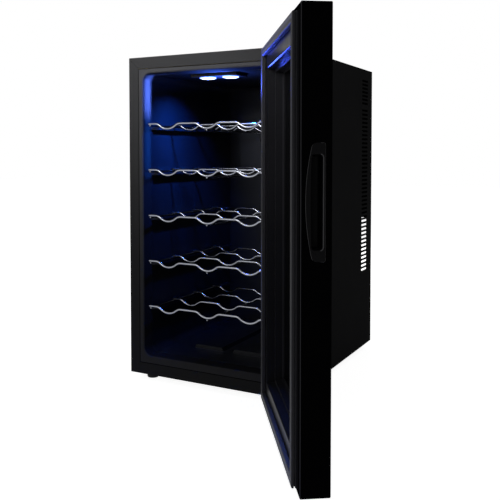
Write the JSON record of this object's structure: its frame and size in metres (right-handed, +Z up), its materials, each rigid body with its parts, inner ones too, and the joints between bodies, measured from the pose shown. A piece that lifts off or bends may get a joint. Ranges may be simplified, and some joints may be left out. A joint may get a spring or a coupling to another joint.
{
  "type": "wine cooler",
  "caption": "Free-standing thermoelectric wine cooler: dark steel cabinet, glazed door hinged on the right, sliding wave-wire shelves, ceiling lamp and rear fan unit.",
  "frame": {"origin": "middle of the front left foot's underside, on the floor", "axes": "+X to the right and +Y to the back as seen from the front, +Z up; the door stands open"},
  "size_m": [0.5465, 0.7753, 0.6471],
  "materials": {
    "cabinet_steel": "satin black paint",
    "collar_plastic": "fine satin grain",
    "liner_plastic": "smooth dark moulding",
    "foam": "rigid insulation foam",
    "lamp_plastic": "fine grain",
    "lens_plastic": "clear, lit from behind",
    "circuit_board": "solder mask",
    "sink_aluminium": "extruded",
    "module_ceramic": "fired",
    "fan_plastic": "moulded",
    "screw_steel": "zinc plated",
    "box_plastic": "moulded",
    "foot_rubber": "matt",
    "door_plastic": "glossy black",
    "door_inner_plastic": "glossy dark moulding",
    "gasket_rubber": "soft extrusion",
    "door_glass": "tinted, polished",
    "handle_plastic": "satin",
    "bush_plastic": "acetal",
    "shelf_chrome": "bright plating"
  },
  "bodies": {
    "cabinet": {"left_side_panel": "cabinet_steel", "right_side_panel": "cabinet_steel", "top_panel": "cabinet_steel", "base_pan": "cabinet_steel", "back_plate": "cabinet_steel", "rear_cover": "cabinet_steel", "front_collar": "collar_plastic", "inner_liner": "liner_plastic", "foam_insulation": "foam", "lamp_housing": "lamp_plastic", "lamp_lenses": "lens_plastic", "lamp_board": "circuit_board", "power_board": "circuit_board", "cold_sink": "sink_aluminium", "hot_sink": "sink_aluminium", "spacer_block": "sink_aluminium", "thermoelectric_module": "module_ceramic", "inner_fan_frame": "fan_plastic", "rear_fan_frame": "fan_plastic", "air_cover": "liner_plastic", "temperature_probe": "screw_steel", "power_box": "box_plastic", "power_box_lid": "box_plastic", "mains_inlet": "box_plastic", "cable_duct": "box_plastic", "upper_hinge_bracket": "cabinet_steel", "lower_hinge_bracket": "cabinet_steel", "hinge_pins": "screw_steel", "feet": "foot_rubber"},
    "door": {"door_frame": "door_plastic", "door_liner": "door_inner_plastic", "door_gasket": "gasket_rubber", "front_glass": "door_glass", "inner_glass": "door_glass", "handle_insert": "handle_plastic", "door_bushes": "bush_plastic"},
    "shelf_1": {"shelf_1": "shelf_chrome"},
    "shelf_2": {"shelf_2": "shelf_chrome"},
    "shelf_3": {"shelf_3": "shelf_chrome"},
    "shelf_4": {"shelf_4": "shelf_chrome"},
    "shelf_5": {"shelf_5": "shelf_chrome"},
    "inner_fan_rotor": {"inner_fan_rotor": "fan_plastic"},
    "rear_fan_rotor": {"rear_fan_rotor": "fan_plastic"}
  },
  "joints": [
    {"name": "door_hinge", "type": "hinge", "parent": "cabinet", "child": "door", "pos_m": [0.304, -0.054, 0.0125], "axis": [0, 0, 1], "range_deg": [-123.66, 16.34]},
    {"name": "shelf_1_slide", "type": "slide", "parent": "cabinet", "child": "shelf_1", "axis": [0, -1, 0], "range_m": [0, 0.2]},
    {"name": "shelf_2_slide", "type": "slide", "parent": "cabinet", "child": "shelf_2", "axis": [0, -1, 0], "range_m": [0, 0.2]},
    {"name": "shelf_3_slide", "type": "slide", "parent": "cabinet", "child": "shelf_3", "axis": [0, -1, 0], "range_m": [0, 0.2]},
    {"name": "shelf_4_slide", "type": "slide", "parent": "cabinet", "child": "shelf_4", "axis": [0, -1, 0], "range_m": [0, 0.2]},
    {"name": "shelf_5_slide", "type": "slide", "parent": "cabinet", "child": "shelf_5", "axis": [0, -1, 0], "range_m": [0, 0.2]},
    {"name": "inner_fan_spin", "type": "hinge", "parent": "cabinet", "child": "inner_fan_rotor", "pos_m": [0.141, 0.294, 0.4825], "axis": [0, 1, 0], "continuous": true},
    {"name": "rear_fan_spin", "type": "hinge", "parent": "cabinet", "child": "rear_fan_rotor", "pos_m": [0.141, 0.415, 0.4825], "axis": [0, 1, 0], "continuous": true}
  ]
}
